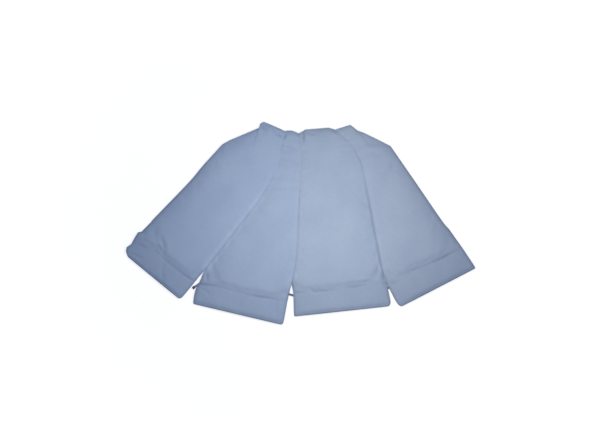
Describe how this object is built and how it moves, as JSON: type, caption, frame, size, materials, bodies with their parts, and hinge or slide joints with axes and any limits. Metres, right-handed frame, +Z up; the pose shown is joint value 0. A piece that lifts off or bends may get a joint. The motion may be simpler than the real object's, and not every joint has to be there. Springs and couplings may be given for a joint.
{
  "type": "bag air filter",
  "caption": "Frameless fan of soft non-woven filter pockets lying flat, sewn side by side, each with a deep turned hem at its mouth.",
  "frame": {"origin": "on the surface that the bag lies on, under the middle of its outline", "axes": "+X across the fan from pocket 1 to pocket 4, +Y from the mouths to the narrow ends, +Z up"},
  "size_m": [1.0628, 0.6164, 0.0183],
  "materials": {
    "felt": "pale steel-blue needled polyester, matt and lofty",
    "thread": "polyester sewing thread, the colour of the felt",
    "tie_cord": "slate-blue braided cord, matt"
  },
  "bodies": {
    "root": {"pocket_1_front_ply": "felt", "pocket_1_back_ply": "felt", "pocket_2_front_ply": "felt", "pocket_2_back_ply": "felt", "pocket_3_front_ply": "felt", "pocket_3_back_ply": "felt", "pocket_4_front_ply": "felt", "pocket_4_back_ply": "felt", "pocket_1_front_hem_thread": "thread", "pocket_1_back_hem_thread": "thread", "pocket_1_end_thread": "thread", "pocket_2_front_hem_thread": "thread", "pocket_2_back_hem_thread": "thread", "pocket_2_end_thread": "thread", "pocket_3_front_hem_thread": "thread", "pocket_3_back_hem_thread": "thread", "pocket_3_end_thread": "thread", "pocket_4_front_hem_thread": "thread", "pocket_4_back_hem_thread": "thread", "pocket_4_end_thread": "thread", "left_edge_thread": "thread", "seam_1_2_thread": "thread", "seam_2_3_thread": "thread", "seam_3_4_thread": "thread", "right_edge_thread": "thread", "tie_1_2": "tie_cord", "tie_2_3": "tie_cord", "tie_3_4": "tie_cord"}
  },
  "joints": []
}
